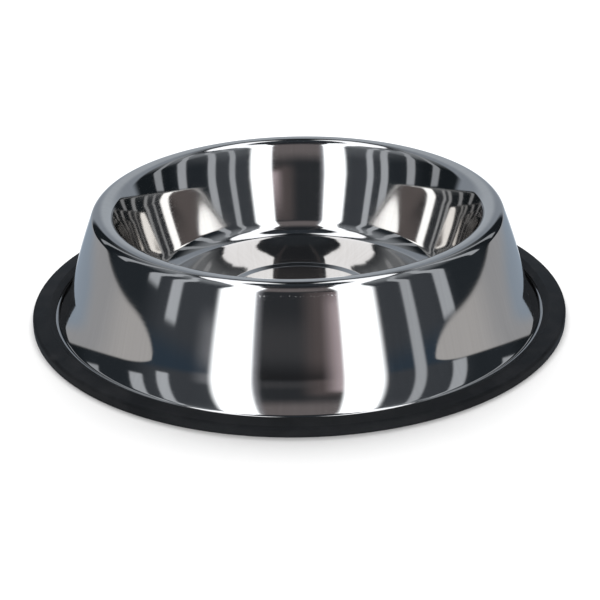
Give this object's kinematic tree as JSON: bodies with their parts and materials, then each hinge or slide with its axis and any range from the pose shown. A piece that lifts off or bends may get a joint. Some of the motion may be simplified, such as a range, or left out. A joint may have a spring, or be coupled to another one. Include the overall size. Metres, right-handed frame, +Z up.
{
  "type": "dog bowl",
  "caption": "Round low food bowl of polished sheet steel with a folded rim and flared skirt, standing in a grooved rubber ring that keeps it from sliding.",
  "frame": {"origin": "on the floor, at the middle of the rubber ring's underside", "axes": "+Z up along the bowl's axis, X and Y level and interchangeable"},
  "size_m": [0.25, 0.25, 0.0524],
  "materials": {
    "polished_steel": "mirror-polished stainless sheet with faint polishing lines",
    "black_rubber": "matte moulded rubber"
  },
  "bodies": {
    "floor_ring": {"rubber_ring": "black_rubber"},
    "bowl": {"steel_bowl": "polished_steel"}
  },
  "joints": [
    {"name": "bowl_lift", "type": "slide", "parent": "floor_ring", "child": "bowl", "axis": [0, 0, 1], "range_m": [0, 0.06], "deforming": ["rubber_ring"]}
  ]
}
